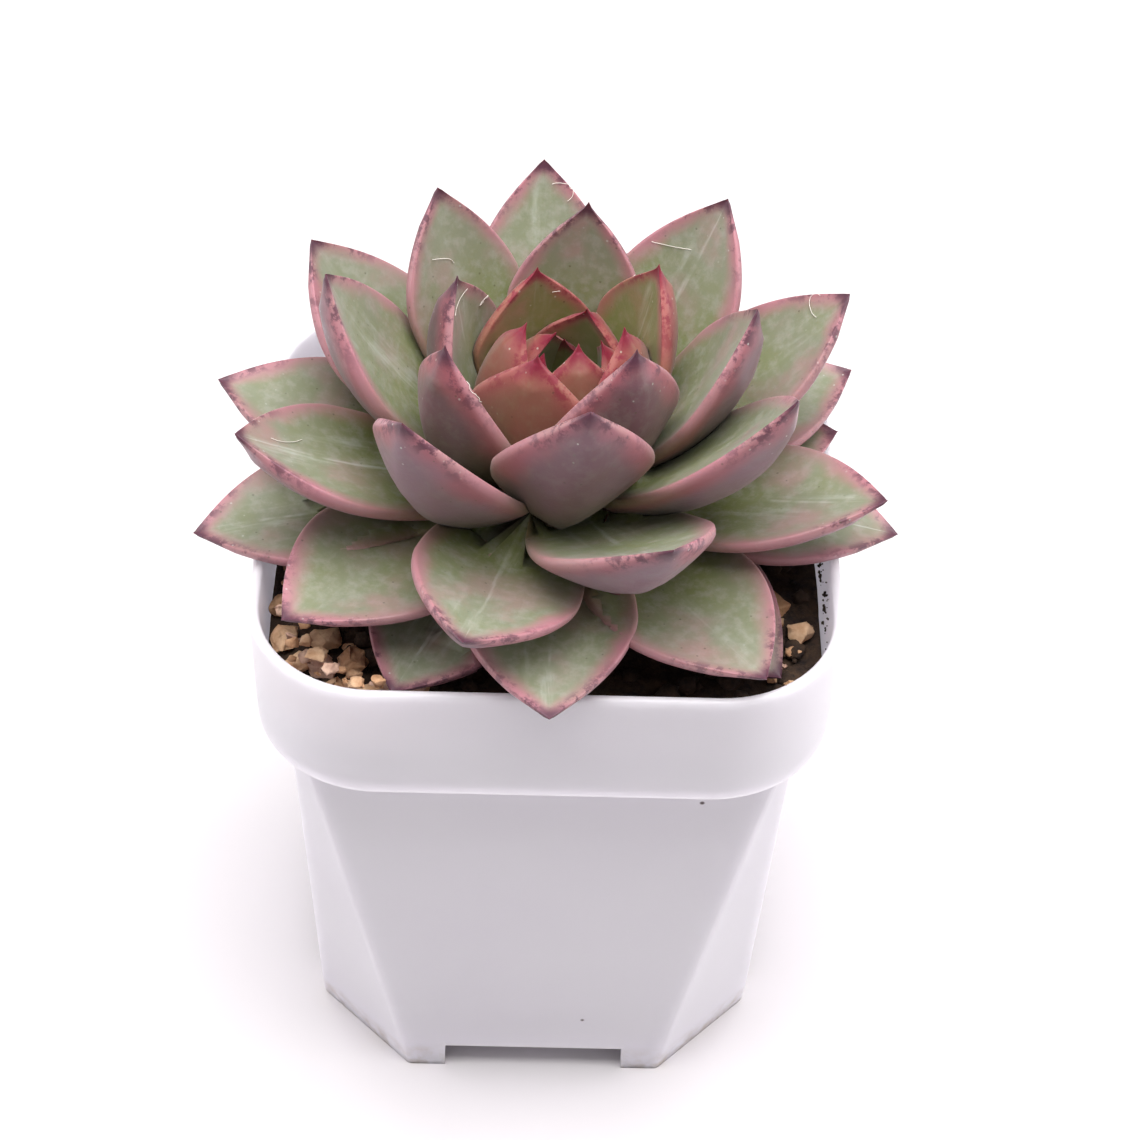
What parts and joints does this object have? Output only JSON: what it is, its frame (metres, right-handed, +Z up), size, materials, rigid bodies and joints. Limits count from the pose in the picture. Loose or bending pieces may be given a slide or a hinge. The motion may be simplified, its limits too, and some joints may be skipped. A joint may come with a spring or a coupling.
{
  "type": "potted succulent",
  "caption": "Thick-leaved rosette succulent growing in compost in a square plastic nursery pot, with a little gravel on the soil; stands on the pot's foot.",
  "frame": {"origin": "middle of the base of the whole plant's bounding box, on the surface the pot stands on", "axes": "+Z up through the pot; -Y the side seen as the front; +X to the right seen from the front"},
  "size_m": [0.0834, 0.0772, 0.1129],
  "materials": {
    "pot": "moulded polypropylene, satin, slightly translucent",
    "soil": "damp fibrous peat compost, matt",
    "stem": "short woody stem, matt",
    "leaf": "waxy bloom over grey green, pink margins, satin",
    "bud_leaf": "waxy young leaf, brick red over olive, satin",
    "stone": "rough buff gravel, matt"
  },
  "bodies": {
    "root": {"pot": "pot", "potting_soil": "soil", "stem": "stem", "leaf_01": "bud_leaf", "leaf_02": "bud_leaf", "leaf_03": "bud_leaf", "leaf_04": "bud_leaf", "leaf_05": "bud_leaf", "leaf_06": "bud_leaf", "leaf_07": "bud_leaf", "leaf_08": "bud_leaf", "leaf_09": "bud_leaf", "leaf_10": "bud_leaf", "leaf_11": "bud_leaf", "leaf_12": "bud_leaf", "leaf_13": "leaf", "leaf_14": "leaf", "leaf_15": "leaf", "leaf_16": "leaf", "leaf_17": "leaf", "leaf_18": "leaf", "leaf_19": "leaf", "leaf_20": "leaf", "leaf_21": "leaf", "leaf_22": "leaf", "leaf_23": "leaf", "leaf_24": "leaf", "leaf_25": "leaf", "leaf_26": "leaf", "leaf_27": "leaf", "leaf_28": "leaf", "leaf_29": "leaf", "leaf_30": "leaf", "leaf_31": "leaf", "leaf_32": "leaf", "leaf_33": "leaf", "leaf_34": "leaf", "leaf_35": "leaf", "leaf_36": "leaf", "leaf_37": "leaf", "leaf_38": "leaf", "leaf_39": "leaf", "leaf_40": "leaf", "leaf_41": "leaf", "leaf_42": "leaf", "leaf_43": "leaf", "leaf_44": "leaf", "leaf_45": "leaf", "leaf_46": "leaf", "stone_01": "stone", "stone_02": "stone", "stone_03": "stone", "stone_04": "stone", "stone_05": "stone", "stone_06": "stone", "stone_07": "stone", "stone_08": "stone", "stone_09": "stone", "stone_10": "stone", "stone_11": "stone"}
  },
  "joints": []
}
